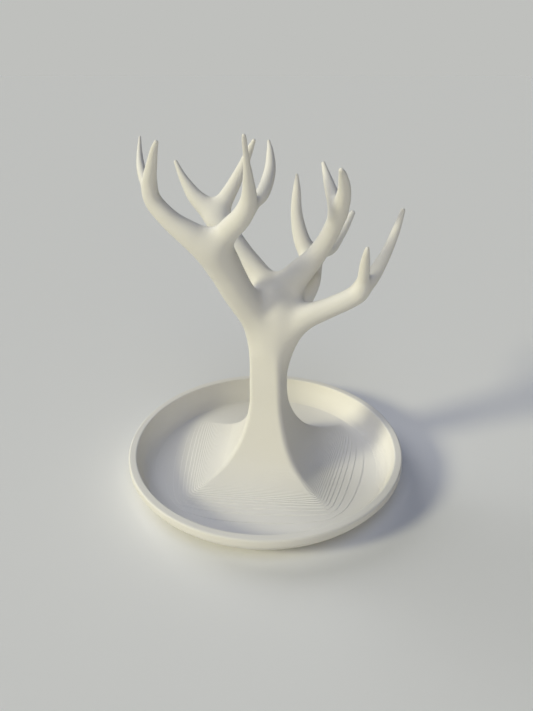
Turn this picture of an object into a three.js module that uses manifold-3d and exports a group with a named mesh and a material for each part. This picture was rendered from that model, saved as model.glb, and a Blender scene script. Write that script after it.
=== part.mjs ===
// Jewelry tree: a round dish whose foot rises into a twisted stem that carries forked limbs and tines.
// Millimetres, +Z up. The origin is the middle of the dish's underside, on the table.
import * as THREE from 'three';
import { mergeVertices } from 'three/addons/utils/BufferGeometryUtils.js';
import Module from 'manifold-3d';

const wasm = await Module();
wasm.setup();

// Dish sizes
const RIM_RADIUS = 60;
const RIM_HEIGHT = 12.5;
const RIM_WIDTH = 3.6;
const RIM_EDGE_RADIUS = 0.8;
const RIM_BAND_HEIGHT = 3.1;
const FLOOR_THICKNESS = 2.6;
const FLOOR_RADIUS = 49;
const WALL_FOOT_RADIUS = 53.5;
const BASE_RADIUS = 46;
const UNDERSIDE_FOOT_RADIUS = 54.5;

// Foot and stem sizes
const FOOT_REACH = 84;
const FOOT_LIMIT_RADIUS = 48.5;
const STEM_HALF_WIDTH = 6.8;
const STEM_OFFSET = 1.3;
const STEM_TAPER = 0.61;
const STEM_RISE = 18.8;
const WAIST_HEIGHT = 40;
const STEM_PEG_RADIUS = 3.6;
const STEM_PEG_LENGTH = 12;

// Crown sizes
const CROWN_SPAN = 100;
const LIMB_RADIUS = 6.5;

// Clearances, and how closely points and faces are kept
const JOINT_GAP = 0.3;
const OVERRUN = 1;
const MERGE_DISTANCE = 0.0003;
const SURFACE_TOLERANCE = 0.03;

// Turn of the stem's square section about the vertical, clockwise from above
const WAIST_TWIST = THREE.MathUtils.degToRad(15);
const CROWN_TWIST = THREE.MathUtils.degToRad(19);

// Shape shares
const SECTION_CORNER_SHARE = 0.28;
const FLARE_SHARE = 6.5;
const FLARE_EASE_SHARE = 0.05;
const WAIST_ROUNDING_SHARE = 4;
const FLOOR_ROUNDING_SHARE = 2.5;
const TWIST_SHARE = 0.5;
const LIMIT_SHARE = 8;
const FILLET_SHARE = 1.4;
const STEM_GRID_SHARE = 0.37;
const FORK_GRID_SHARE = 0.5;
const FORK_MARGIN_SHARE = 1.9;
const SLAB_WIDTH_SHARE = 3.1;
const SLAB_DEPTH_SHARE = 1.2;
const PEG_RADIUS_SHARE = 0.45;
const PEG_LENGTH_SHARE = 1.3;
const PROBE_SHARE = 0.1;
const SETTLE_SHARE = 0.5;
const OPENED_SHARE = 0.01;
const LEAST_SLOPE_SHARE = 0.5;

// Counts of points round a ring and of steps along a shape
const DISH_SIDES = 56;
const FOOT_STEPS = 14;
const WALL_STEPS = 4;
const EDGE_STEPS = 2;
const CURVE_STEPS = 5;
const TINE_SIDES = 10;
const TINE_STEPS = 7;
const PEG_SIDES = 10;
const SETTLE_STEPS = 3;

// Corners of the foot on the dish's floor, from the rear right one round to the left:
// reach as a share of FOOT_REACH, and direction as a share of a full turn
const foot_corner_shares = [[1.19, 0.114], [1, 0.394], [0.925, 0.611], [0.8, 0.858]];

// Middle lines of the limbs from root to tip: across, back and up as shares of CROWN_SPAN,
// measured from the stem's waist, then thickness as a share of LIMB_RADIUS
const limb_shares = {
  front_left: [
    [0.008, 0.001, 0.14, 0.25], [-0.02, -0.002, 0.235, 0.698], [-0.036, -0.017, 0.335, 0.859],
    [-0.105, -0.06, 0.47, 0.874], [-0.163, -0.1, 0.6, 0.92], [-0.226, -0.13, 0.68, 0.8],
    [-0.322, -0.13, 0.755, 0.55], [-0.384, -0.12, 0.825, 0.46], [-0.389, -0.13, 0.89, 0.38],
    [-0.37, -0.17, 0.955, 0.27], [-0.351, -0.21, 1.007, 0.18], [-0.337, -0.24, 1.034, 0.11],
  ],
  outer_left_rear: [
    [-0.398, -0.11, 0.85, 0.22], [-0.414, -0.09, 0.886, 0.26], [-0.432, -0.04, 0.92, 0.23],
    [-0.444, 0.02, 0.955, 0.16], [-0.45, 0.08, 1.005, 0.06],
  ],
  inner_left: [
    [-0.158, -0.1, 0.6, 0.55], [-0.164, -0.13, 0.67, 0.65], [-0.129, -0.15, 0.728, 0.62],
    [-0.08, -0.18, 0.786, 0.55], [-0.055, -0.2, 0.847, 0.43], [-0.054, -0.24, 0.92, 0.28],
    [-0.057, -0.29, 0.99, 0.15], [-0.061, -0.33, 1.05, 0.12], [-0.062, -0.345, 1.07, 0.09],
  ],
  inner_left_rear: [
    [-0.051, -0.18, 0.82, 0.28], [-0.01, -0.12, 0.85, 0.37], [0.015, -0.04, 0.906, 0.32],
    [0.017, 0.02, 0.96, 0.2], [0.012, 0.05, 0.995, 0.08],
  ],
  centre: [
    [0.018, -0.002, 0.14, 0.343], [0.028, 0.01, 0.25, 0.797], [0.056, 0.009, 0.35, 0.965],
    [0.105, 0.049, 0.465, 0.878], [0.19, 0.085, 0.551, 0.64], [0.245, 0.075, 0.645, 0.54],
    [0.277, 0.04, 0.756, 0.51], [0.282, -0.015, 0.835, 0.38], [0.268, -0.07, 0.895, 0.25],
    [0.257, -0.1, 0.923, 0.14],
  ],
  centre_rear: [
    [0.272, 0.05, 0.739, 0.34], [0.256, 0.08, 0.784, 0.4], [0.242, 0.12, 0.827, 0.32],
    [0.231, 0.16, 0.863, 0.21], [0.222, 0.19, 0.893, 0.12],
  ],
  rear_left: [
    [0.046, 0.028, 0.363, 0.675], [-0.003, 0.078, 0.444, 0.8], [-0.095, 0.155, 0.54, 0.75],
    [-0.17, 0.22, 0.628, 0.72], [-0.235, 0.26, 0.7, 0.63], [-0.288, 0.28, 0.748, 0.48],
    [-0.334, 0.3, 0.817, 0.26], [-0.362, 0.32, 0.875, 0.12],
  ],
  rear_left_inner: [
    [-0.19, 0.24, 0.664, 0.51], [-0.173, 0.26, 0.72, 0.54], [-0.134, 0.275, 0.785, 0.43],
    [-0.09, 0.28, 0.867, 0.31], [-0.065, 0.27, 0.924, 0.23], [-0.045, 0.26, 0.966, 0.11],
  ],
  rear_right: [
    [0.045, 0.017, 0.24, 0.354], [0.079, 0.036, 0.285, 0.675], [0.138, 0.09, 0.352, 0.69],
    [0.185, 0.155, 0.43, 0.66], [0.186, 0.22, 0.498, 0.62], [0.15, 0.27, 0.575, 0.52],
    [0.13, 0.31, 0.666, 0.38], [0.129, 0.33, 0.761, 0.26], [0.129, 0.34, 0.82, 0.09],
  ],
  rear_right_outer: [
    [0.189, 0.2, 0.494, 0.45], [0.229, 0.25, 0.518, 0.45], [0.28, 0.3, 0.524, 0.42],
    [0.317, 0.34, 0.561, 0.34], [0.346, 0.37, 0.6, 0.29], [0.376, 0.4, 0.647, 0.18],
  ],
  right: [
    [0.044, 0.01, 0.14, 0.683], [0.058, -0.003, 0.22, 0.85], [0.09, -0.023, 0.285, 0.812],
    [0.148, -0.042, 0.348, 0.757], [0.25, -0.055, 0.4, 0.61], [0.338, -0.06, 0.449, 0.58],
    [0.381, -0.05, 0.494, 0.51], [0.421, -0.01, 0.529, 0.43], [0.465, 0.03, 0.595, 0.32],
    [0.497, 0.06, 0.665, 0.25], [0.521, 0.08, 0.74, 0.14],
  ],
  right_front: [
    [0.354, -0.07, 0.466, 0.32], [0.363, -0.08, 0.518, 0.34], [0.361, -0.11, 0.59, 0.29],
    [0.358, -0.14, 0.644, 0.18], [0.358, -0.15, 0.665, 0.11],
  ],
};

// Where each piece starts: the limb that it grows on and how far along that limb's points
const joint_shares = {
  front_left_limb: ['front_left', 0.255],
  outer_left_fork: ['front_left', 0.5],
  inner_left_fork: ['inner_left', 0.25],
  centre_fork: ['centre', 0.42],
  rear_left_fork: ['rear_left', 0.24],
  rear_right_fork: ['rear_right', 0.41],
  right_fork: ['right', 0.37],
  outer_left_front_tine: ['front_left', 0.73],
  outer_left_rear_tine: ['outer_left_rear', 0.42],
  inner_left_front_tine: ['inner_left', 0.6],
  inner_left_rear_tine: ['inner_left_rear', 0.33],
  centre_front_tine: ['centre', 0.73],
  centre_rear_tine: ['centre_rear', 0.4],
  rear_left_outer_tine: ['rear_left', 0.68],
  rear_left_inner_tine: ['rear_left_inner', 0.33],
  rear_right_inner_tine: ['rear_right', 0.6],
  rear_right_outer_tine: ['rear_right_outer', 0.3],
  right_outer_tine: ['right', 0.73],
  right_front_tine: ['right_front', 0.33],
};

// What each forked piece carries
const stem_branches = [
  'front_left_limb', 'centre_fork', 'rear_left_fork', 'rear_right_fork', 'right_fork',
];
const fork_branches = {
  front_left_limb: ['outer_left_fork', 'inner_left_fork'],
  outer_left_fork: ['outer_left_front_tine', 'outer_left_rear_tine'],
  inner_left_fork: ['inner_left_front_tine', 'inner_left_rear_tine'],
  centre_fork: ['centre_front_tine', 'centre_rear_tine'],
  rear_left_fork: ['rear_left_outer_tine', 'rear_left_inner_tine'],
  rear_right_fork: ['rear_right_inner_tine', 'rear_right_outer_tine'],
  right_fork: ['right_outer_tine', 'right_front_tine'],
};

const UP = new THREE.Vector3(0, 0, 1);

// Printed white plastic, one material for each piece
function whitePlastic() {
  return new THREE.MeshStandardMaterial({ color: 0xe8e5dc, roughness: 0.7, metalness: 0 });
}

// Closed solids and the way between them and three.js geometry
function solidOf(geometry) {
  const plain = geometry.clone();
  plain.deleteAttribute('normal');
  plain.deleteAttribute('uv');
  const merged = mergeVertices(plain, MERGE_DISTANCE);
  return new wasm.Manifold(new wasm.Mesh({
    numProp: 3,
    vertProperties: new Float32Array(merged.attributes.position.array),
    triVerts: new Uint32Array(merged.index.array),
  }));
}

function geometryOf(solid) {
  const mesh = solid.simplify(SURFACE_TOLERANCE).getMesh();
  const geometry = new THREE.BufferGeometry();
  geometry.setAttribute('position', new THREE.BufferAttribute(new Float32Array(mesh.vertProperties), 3));
  geometry.setIndex(new THREE.BufferAttribute(new Uint32Array(mesh.triVerts), 1));
  geometry.computeVertexNormals();
  return geometry;
}

function meshOf(name, solid, place) {
  const geometry = geometryOf(solid);
  geometry.translate(-place.x, -place.y, -place.z);
  const mesh = new THREE.Mesh(geometry, whitePlastic());
  mesh.name = name;
  mesh.position.copy(place);
  return mesh;
}

// A box or a peg that stands on a point and reaches from one height to another along a direction
function alignedSolid(geometry, place, direction, from, to) {
  const turn = new THREE.Quaternion().setFromUnitVectors(UP, direction);
  geometry.translate(0, 0, (from + to) / 2);
  geometry.applyQuaternion(turn);
  geometry.translate(place.x, place.y, place.z);
  return solidOf(geometry);
}

function peg(radius, place, direction, from, to) {
  const geometry = new THREE.CylinderGeometry(radius, radius, to - from, PEG_SIDES);
  geometry.rotateX(Math.PI / 2);
  return alignedSolid(geometry, place, direction, from, to);
}

function slab(width, place, direction, from, to) {
  return alignedSolid(new THREE.BoxGeometry(width, width, to - from), place, direction, from, to);
}

// Rounded square section: reach from its middle in one direction
function sectionReach(angle, halfWidth, cornerShare) {
  const corner = cornerShare * halfWidth;
  const core = halfWidth - corner;
  const along = Math.max(Math.abs(Math.cos(angle)), Math.abs(Math.sin(angle)));
  const beside = Math.min(Math.abs(Math.cos(angle)), Math.abs(Math.sin(angle)));
  if (halfWidth * beside <= core * along) return halfWidth / along;
  return core * (along + beside) + Math.sqrt(corner ** 2 - (core * (along - beside)) ** 2);
}

// One closed ring of points round a vertical line
function ring(pointAt) {
  const points = [];
  for (let side = 0; side < DISH_SIDES; side += 1) points.push(pointAt((side / DISH_SIDES) * 2 * Math.PI));
  return points;
}

function roundRing(radius, height) {
  return ring((angle) => new THREE.Vector3(radius * Math.cos(angle), radius * Math.sin(angle), height));
}

// Solid between a stack of rings, closed by a middle point at either end
function ringStack(first, rings, last) {
  const sides = rings[0].length;
  const points = [first, ...rings.flat(), last];
  const index = [];
  const at = (level, side) => 1 + level * sides + (side % sides);
  for (let side = 0; side < sides; side += 1) {
    index.push(0, at(0, side + 1), at(0, side));
    for (let level = 0; level + 1 < rings.length; level += 1) {
      index.push(at(level, side), at(level, side + 1), at(level + 1, side + 1));
      index.push(at(level, side), at(level + 1, side + 1), at(level + 1, side));
    }
    index.push(points.length - 1, at(rings.length - 1, side), at(rings.length - 1, side + 1));
  }
  const geometry = new THREE.BufferGeometry().setFromPoints(points);
  geometry.setIndex(index);
  return solidOf(geometry);
}

// Round turn of a rim's edge between two angles
function edgePoints(x, y, fromAngle, toAngle) {
  const arc = new THREE.EllipseCurve(x, y, RIM_EDGE_RADIUS, RIM_EDGE_RADIUS, fromAngle, toAngle);
  return arc.getPoints(EDGE_STEPS);
}

// Dish outline from the underside over the rim and down to the floor, as radius and height
function dishOutline() {
  const bandFoot = RIM_HEIGHT - RIM_BAND_HEIGHT;
  const underside = new THREE.QuadraticBezierCurve(
    new THREE.Vector2(BASE_RADIUS, 0),
    new THREE.Vector2(UNDERSIDE_FOOT_RADIUS, 0),
    new THREE.Vector2(RIM_RADIUS, bandFoot),
  );
  const edgeHeight = RIM_HEIGHT - RIM_EDGE_RADIUS;
  const innerRadius = RIM_RADIUS - RIM_WIDTH;
  const wall = new THREE.QuadraticBezierCurve(
    new THREE.Vector2(innerRadius, edgeHeight),
    new THREE.Vector2(WALL_FOOT_RADIUS, FLOOR_THICKNESS),
    new THREE.Vector2(FLOOR_RADIUS, FLOOR_THICKNESS),
  );
  return [
    ...underside.getPoints(WALL_STEPS),
    ...edgePoints(RIM_RADIUS - RIM_EDGE_RADIUS, edgeHeight, 0, Math.PI / 2),
    ...edgePoints(innerRadius + RIM_EDGE_RADIUS, edgeHeight, Math.PI / 2, Math.PI),
    ...wall.getPoints(WALL_STEPS).slice(1),
  ];
}

// Corners of the foot's four-sided section, which turns and spreads on its way down
function footCorners(spreadShare) {
  return foot_corner_shares.map(([reachShare, turnShare], quarter) => {
    const waistAngle = (quarter + 1 / 2) * (Math.PI / 2) - WAIST_TWIST;
    const angle = THREE.MathUtils.lerp(waistAngle, turnShare * 2 * Math.PI, spreadShare ** TWIST_SHARE);
    const reach = THREE.MathUtils.lerp(Math.SQRT2 * STEM_HALF_WIDTH, FOOT_REACH * reachShare, spreadShare);
    return new THREE.Vector3(reach * Math.cos(angle), reach * Math.sin(angle), 0);
  });
}

// Foot section at a step between the floor and the waist, with crisp corners half-way up,
// and held inside the dish's wall
function footRing(step) {
  const evenShare = 1 - step / FOOT_STEPS;
  const leastRise = Math.exp(-FLARE_SHARE);
  const riseShare = (Math.exp(-FLARE_SHARE * evenShare) - leastRise) / (1 - leastRise);
  const height = THREE.MathUtils.lerp(FLOOR_THICKNESS, WAIST_HEIGHT, riseShare);
  const spreadShare = Math.hypot(evenShare, FLARE_EASE_SHARE) - FLARE_EASE_SHARE;
  const rounding = (1 - spreadShare) ** WAIST_ROUNDING_SHARE + spreadShare ** FLOOR_ROUNDING_SHARE;
  const corners = footCorners(spreadShare);
  return ring((angle) => {
    const reach = sectionReach(angle, 1, SECTION_CORNER_SHARE * rounding);
    const [across, back] = [reach * Math.cos(angle), reach * Math.sin(angle)];
    const weights = [
      (1 + across) * (1 + back), (1 - across) * (1 + back),
      (1 - across) * (1 - back), (1 + across) * (1 - back),
    ];
    const point = new THREE.Vector3(STEM_OFFSET, 0, 0);
    corners.forEach((corner, quarter) => point.addScaledVector(corner, weights[quarter] / 4));
    const crowding = (point.length() / FOOT_LIMIT_RADIUS) ** LIMIT_SHARE;
    return point.multiplyScalar((1 + crowding) ** (-1 / LIMIT_SHARE)).setZ(height);
  });
}

// Dish, foot and lower stem, with the socket for the upper stem's peg
function makeDish() {
  const rings = dishOutline().map((point) => roundRing(point.x, point.y));
  for (let step = 0; step <= FOOT_STEPS; step += 1) rings.push(footRing(step));
  const top = new THREE.Vector3(STEM_OFFSET, 0, WAIST_HEIGHT);
  const bowl = ringStack(new THREE.Vector3(0, 0, 0), rings, top);
  const depth = STEM_PEG_LENGTH + JOINT_GAP;
  return bowl.subtract(peg(STEM_PEG_RADIUS + JOINT_GAP, top, UP, -depth, OVERRUN));
}

// Smooth middle line of a limb as short straight stretches, with the thickness at each point
function limbPoints(rows) {
  const points = rows.map(([across, back, up, thick]) => [
    across * CROWN_SPAN, back * CROWN_SPAN, up * CROWN_SPAN, thick * LIMB_RADIUS,
  ]);
  const before = points[0].map((value, axis) => 2 * value - points[1][axis]);
  const after = points.at(-1).map((value, axis) => 2 * value - points.at(-2)[axis]);
  const guided = [before, ...points, after];
  const line = [];
  for (let start = 1; start + 2 < guided.length; start += 1) {
    for (let step = 0; step < CURVE_STEPS; step += 1) {
      line.push(guided[start].map((_, axis) => catmullRom(guided, start, axis, step / CURVE_STEPS)));
    }
  }
  line.push(points.at(-1));
  return line;
}

function catmullRom(rows, start, axis, t) {
  const [a, b, c, d] = [start - 1, start, start + 1, start + 2].map((row) => rows[row][axis]);
  return 0.5 * (2 * b + (c - a) * t + (2 * a - 5 * b + 4 * c - d) * t ** 2
    + (3 * b - a - 3 * c + d) * t ** 3);
}

const limbs = Object.fromEntries(
  Object.entries(limb_shares).map(([name, rows]) => [name, limbPoints(rows)]),
);

// Point, direction and thickness at a share of a limb's points
function limbAt(name, share) {
  const line = limbs[name];
  const place = Math.min(share, 1) * (line.length - 1);
  const start = Math.min(Math.floor(place), line.length - 2);
  const from = new THREE.Vector3(...line[start]);
  const to = new THREE.Vector3(...line[start + 1]);
  return {
    place: from.clone().lerp(to, place - start),
    direction: to.clone().sub(from).normalize(),
    radius: THREE.MathUtils.lerp(line[start][3], line[start + 1][3], place - start),
  };
}

function jointOf(name) {
  const [limb, share] = joint_shares[name];
  return limbAt(limb, share);
}

// Distance from a point to one limb's surface, and the limb's thickness nearest to it
function limbDistance(line, x, y, z) {
  let nearest = Infinity;
  let radius = 0;
  for (let step = 0; step + 1 < line.length; step += 1) {
    const [ax, ay, az, ar] = line[step];
    const [bx, by, bz, br] = line[step + 1];
    const [dx, dy, dz] = [bx - ax, by - ay, bz - az];
    const along = ((x - ax) * dx + (y - ay) * dy + (z - az) * dz) / (dx * dx + dy * dy + dz * dz);
    const t = Math.min(Math.max(along, 0), 1);
    const here = ar + t * (br - ar);
    const distance = Math.hypot(x - ax - t * dx, y - ay - t * dy, z - az - t * dz) - here;
    if (distance < nearest) {
      nearest = distance;
      radius = here;
    }
  }
  return [nearest, radius];
}

// Distance to the stem's square column above the waist
function stemDistance(x, y, z) {
  const rise = z / STEM_RISE;
  const halfWidth = STEM_HALF_WIDTH - STEM_TAPER * Math.max(rise, 0) ** 2;
  const corner = SECTION_CORNER_SHARE * halfWidth;
  const core = halfWidth - corner;
  const twist = THREE.MathUtils.lerp(WAIST_TWIST, CROWN_TWIST, rise);
  const across = Math.abs((x - STEM_OFFSET) * Math.cos(twist) - y * Math.sin(twist)) - core;
  const back = Math.abs((x - STEM_OFFSET) * Math.sin(twist) + y * Math.cos(twist)) - core;
  const over = z - (STEM_RISE - corner);
  const outside = Math.hypot(Math.max(across, 0), Math.max(back, 0), Math.max(over, 0));
  return outside + Math.min(Math.max(across, back, over), 0) - corner;
}

// Each limb's line with the box that holds it, so that far limbs can be passed over
const limb_lines = Object.values(limbs).map((line) => {
  const thickest = Math.max(...line.map((row) => row[3]));
  const box = new THREE.Box3().setFromPoints(line.map((row) => new THREE.Vector3(...row)));
  return { line, box: box.expandByScalar(thickest), reach: FILLET_SHARE * thickest };
});

function boxDistance({ min, max }, x, y, z) {
  const across = Math.max(min.x - x, x - max.x, 0);
  const back = Math.max(min.y - y, y - max.y, 0);
  return Math.hypot(across, back, Math.max(min.z - z, z - max.z, 0));
}

// Distance to the whole crown, with a fillet where each limb leaves what carries it
function crownDistance(x, y, z) {
  let total = stemDistance(x, y, z);
  for (const { line, box, reach } of limb_lines) {
    if (boxDistance(box, x, y, z) > total + reach) continue;
    const [distance, radius] = limbDistance(line, x, y, z);
    const fillet = FILLET_SHARE * radius;
    const mix = Math.min(Math.max(0.5 + (distance - total) / (2 * fillet), 0), 1);
    total = distance * (1 - mix) + total * mix - fillet * mix * (1 - mix);
  }
  return total;
}

// Move a point straight onto the crown's surface, but not far from where it was
function settle(point, step) {
  const start = point.clone();
  const probe = PROBE_SHARE * step;
  for (let turn = 0; turn < SETTLE_STEPS; turn += 1) {
    const { x, y, z } = point;
    const here = crownDistance(x, y, z);
    const slope = new THREE.Vector3(
      crownDistance(x + probe, y, z) - crownDistance(x - probe, y, z),
      crownDistance(x, y + probe, z) - crownDistance(x, y - probe, z),
      crownDistance(x, y, z + probe) - crownDistance(x, y, z - probe),
    ).divideScalar(2 * probe);
    point.addScaledVector(slope, -here / Math.max(slope.length(), LEAST_SLOPE_SHARE) ** 2);
  }
  const moved = point.clone().sub(start);
  return start.add(moved.clampLength(0, SETTLE_SHARE * step));
}

// Open one corner of each grid face whose corners alternate between inside and outside,
// so that no edge of the surface is shared by four faces
function openAlternatingFaces(values, [nx, ny, nz], id, opening) {
  let opened = true;
  while (opened) {
    opened = false;
    for (let k = 0; k + 1 < nz; k += 1) {
      for (let j = 0; j + 1 < ny; j += 1) {
        for (let i = 0; i + 1 < nx; i += 1) {
          const faces = [
            [[0, 0, 0], [1, 0, 0], [1, 1, 0], [0, 1, 0]],
            [[0, 0, 0], [0, 1, 0], [0, 1, 1], [0, 0, 1]],
            [[0, 0, 0], [1, 0, 0], [1, 0, 1], [0, 0, 1]],
          ];
          for (const face of faces) {
            const corners = face.map(([a, b, c]) => id(i + a, j + b, k + c));
            const inside = corners.map((corner) => values[corner] < 0);
            if (inside[0] !== inside[2] || inside[1] !== inside[3] || inside[0] === inside[1]) continue;
            const [first, second] = corners.filter((_, place) => inside[place]);
            values[values[first] > values[second] ? first : second] = opening;
            opened = true;
          }
        }
      }
    }
  }
}

// Closed surface of the crown inside a box: one point in each grid cell that the surface crosses
function crownSurface(box, step) {
  const size = box.getSize(new THREE.Vector3());
  const counts = [size.x, size.y, size.z].map((length) => Math.ceil(length / step) + 3);
  const [nx, ny, nz] = counts;
  const corner = box.min.clone().subScalar(step);
  const id = (i, j, k) => (k * ny + j) * nx + i;
  const place = (i, j, k) => new THREE.Vector3(i, j, k).multiplyScalar(step).add(corner);
  const values = new Float32Array(nx * ny * nz).fill(step);
  for (let k = 1; k + 1 < nz; k += 1) {
    for (let j = 1; j + 1 < ny; j += 1) {
      for (let i = 1; i + 1 < nx; i += 1) {
        const { x, y, z } = place(i, j, k);
        values[id(i, j, k)] = crownDistance(x, y, z);
      }
    }
  }
  openAlternatingFaces(values, counts, id, OPENED_SHARE * step);
  const points = [];
  const cells = new Map();
  const cellPoint = (i, j, k) => {
    const key = id(i, j, k);
    if (!cells.has(key)) {
      cells.set(key, points.length);
      const atBorder = [i, j, k].some((value, axis) => value < 1 || value + 2 >= counts[axis]);
      const middle = crossingMiddle(i, j, k, id, values, place);
      points.push(atBorder ? middle : settle(middle, step));
    }
    return cells.get(key);
  };
  const index = [];
  for (let k = 0; k + 1 < nz; k += 1) {
    for (let j = 0; j + 1 < ny; j += 1) {
      for (let i = 0; i + 1 < nx; i += 1) {
        const inside = values[id(i, j, k)] < 0;
        const faces = [
          [id(i + 1, j, k), [0, 0, 0], [0, -1, 0], [0, -1, -1], [0, 0, -1]],
          [id(i, j + 1, k), [0, 0, 0], [0, 0, -1], [-1, 0, -1], [-1, 0, 0]],
          [id(i, j, k + 1), [0, 0, 0], [-1, 0, 0], [-1, -1, 0], [0, -1, 0]],
        ];
        for (const [neighbour, ...around] of faces) {
          if ((values[neighbour] < 0) === inside) continue;
          const quad = around.map(([a, b, c]) => cellPoint(i + a, j + b, k + c));
          if (!inside) quad.reverse();
          index.push(...shortDiagonal(points, quad));
        }
      }
    }
  }
  const geometry = new THREE.BufferGeometry().setFromPoints(points);
  geometry.setIndex(index);
  return solidOf(geometry);
}

// Middle of the places where a cell's edges cross the surface
function crossingMiddle(i, j, k, id, values, place) {
  const sum = new THREE.Vector3();
  let count = 0;
  const ends = [0, 1];
  for (const a of ends) {
    for (const b of ends) {
      const edges = [
        [[0, a, b], [1, a, b]], [[a, 0, b], [a, 1, b]], [[a, b, 0], [a, b, 1]],
      ];
      for (const [from, to] of edges) {
        const [fromCell, toCell] = [from, to].map(([p, q, r]) => [i + p, j + q, k + r]);
        const low = values[id(...fromCell)];
        const high = values[id(...toCell)];
        if ((low < 0) === (high < 0)) continue;
        sum.add(place(...fromCell).lerp(place(...toCell), low / (low - high)));
        count += 1;
      }
    }
  }
  return sum.divideScalar(count);
}

// Two triangles of a four-sided face, parted along its shorter diagonal
function shortDiagonal(points, [a, b, c, d]) {
  const acrossFirst = points[a].distanceTo(points[c]);
  const acrossSecond = points[b].distanceTo(points[d]);
  return acrossFirst < acrossSecond ? [a, b, c, a, c, d] : [b, c, d, b, d, a];
}

// The separate solid of a cut shape that lies nearest to a point
function nearestSolid(solid, target) {
  let best = null;
  let least = Infinity;
  for (const piece of solid.decompose()) {
    const { vertProperties } = piece.getMesh();
    for (let at = 0; at < vertProperties.length; at += 3) {
      const distance = target.distanceTo(new THREE.Vector3().fromArray(vertProperties, at));
      if (distance < least) {
        least = distance;
        best = piece;
      }
    }
  }
  return best;
}

// Socket and clean end that a piece has for each piece that it carries
function cutForBranches(solid, branches) {
  let cut = solid;
  for (const branch of branches) {
    const { place, direction, radius } = jointOf(branch);
    const depth = PEG_LENGTH_SHARE * radius + JOINT_GAP;
    cut = cut.subtract(slab(SLAB_WIDTH_SHARE * radius, place, direction, 0, SLAB_DEPTH_SHARE * radius));
    cut = cut.subtract(peg(PEG_RADIUS_SHARE * radius + JOINT_GAP, place, direction, -depth, OVERRUN));
  }
  return cut;
}

// Peg that a piece has at its own start
function addPeg(solid, name) {
  const { place, direction, radius } = jointOf(name);
  const length = PEG_LENGTH_SHARE * radius;
  return solid.add(peg(PEG_RADIUS_SHARE * radius, place, direction, -length, OVERRUN));
}

function boxRound(places, margin) {
  return new THREE.Box3().setFromPoints(places).expandByScalar(margin);
}

// Upper stem: from the waist to where the five main limbs leave
function makeStem() {
  const places = stem_branches.map((branch) => jointOf(branch).place);
  const waist = new THREE.Vector3(STEM_OFFSET, 0, 0);
  const box = boxRound([...places, waist], FORK_MARGIN_SHARE * LIMB_RADIUS);
  const width = 2 * box.getSize(new THREE.Vector3()).length();
  const column = crownSurface(box, STEM_GRID_SHARE * STEM_HALF_WIDTH);
  const above = column.subtract(slab(width, waist, UP, -width, JOINT_GAP));
  const stem = nearestSolid(cutForBranches(above, stem_branches), waist);
  return stem.add(peg(STEM_PEG_RADIUS, waist, UP, -STEM_PEG_LENGTH, OVERRUN));
}

// Forked piece: from its joint to the joints of the two pieces that it carries
function makeFork(name, branches) {
  const { place, direction, radius } = jointOf(name);
  const ends = branches.map(jointOf);
  const box = boxRound([place, ...ends.map((end) => end.place)], FORK_MARGIN_SHARE * radius);
  const step = FORK_GRID_SHARE * (radius + Math.min(...ends.map((end) => end.radius))) / 2;
  const depth = SLAB_DEPTH_SHARE * radius;
  const below = slab(SLAB_WIDTH_SHARE * radius, place, direction, -depth, JOINT_GAP);
  const cut = cutForBranches(crownSurface(box, step).subtract(below), branches);
  return addPeg(nearestSolid(cut, place), name);
}

// Reach from a point on a limb's middle line to the crown's surface
function surfaceReach(centre, direction, start) {
  let reach = start;
  for (let turn = 0; turn < 2 * SETTLE_STEPS; turn += 1) {
    const point = centre.clone().addScaledVector(direction, reach);
    reach -= crownDistance(point.x, point.y, point.z);
  }
  return reach;
}

// Tine: rings from its joint to its rounded tip
function makeTine(name) {
  const [limb, jointShare] = joint_shares[name];
  const start = limbAt(limb, jointShare);
  const side = new THREE.Vector3(0, 1, 0).cross(start.direction).normalize();
  let heading = start.direction;
  const rings = [];
  for (let step = 0; step <= TINE_STEPS; step += 1) {
    const share = THREE.MathUtils.lerp(jointShare, 1, step / TINE_STEPS);
    const { place, direction, radius } = limbAt(limb, share);
    const centre = step === 0 ? place.addScaledVector(direction, JOINT_GAP) : place;
    side.applyQuaternion(new THREE.Quaternion().setFromUnitVectors(heading, direction));
    heading = direction;
    const points = [];
    for (let turn = 0; turn < TINE_SIDES; turn += 1) {
      const angle = (turn / TINE_SIDES) * 2 * Math.PI;
      const outward = side.clone().applyAxisAngle(heading, angle);
      points.push(centre.clone().addScaledVector(outward, surfaceReach(centre, outward, radius)));
    }
    rings.push(points);
  }
  const end = limbAt(limb, 1);
  const tip = end.place.addScaledVector(end.direction, end.radius);
  const root = start.place.clone().addScaledVector(start.direction, JOINT_GAP);
  return addPeg(ringStack(root, rings, tip), name);
}

// The whole object
const tree = new THREE.Group();
tree.add(meshOf('dish', makeDish(), new THREE.Vector3(0, 0, 0)));

const crown = new THREE.Group();
crown.position.set(0, 0, WAIST_HEIGHT);
tree.add(crown);

crown.add(meshOf('stem', makeStem(), new THREE.Vector3(STEM_OFFSET, 0, 0)));
for (const [name, branches] of Object.entries(fork_branches)) {
  crown.add(meshOf(name, makeFork(name, branches), jointOf(name).place));
}
for (const name of Object.keys(joint_shares)) {
  if (name.endsWith('tine')) crown.add(meshOf(name, makeTine(name), jointOf(name).place));
}

export default tree;
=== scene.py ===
"""Looks of the jewelry tree: printed white plastic, one visual piece for each CAD node.

Lengths are millimetres until a mesh is made, which is in metres.
The crown is one implicit surface: the stem's square column and the limbs, joined by fillets.
"""

import math
from itertools import product

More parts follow.
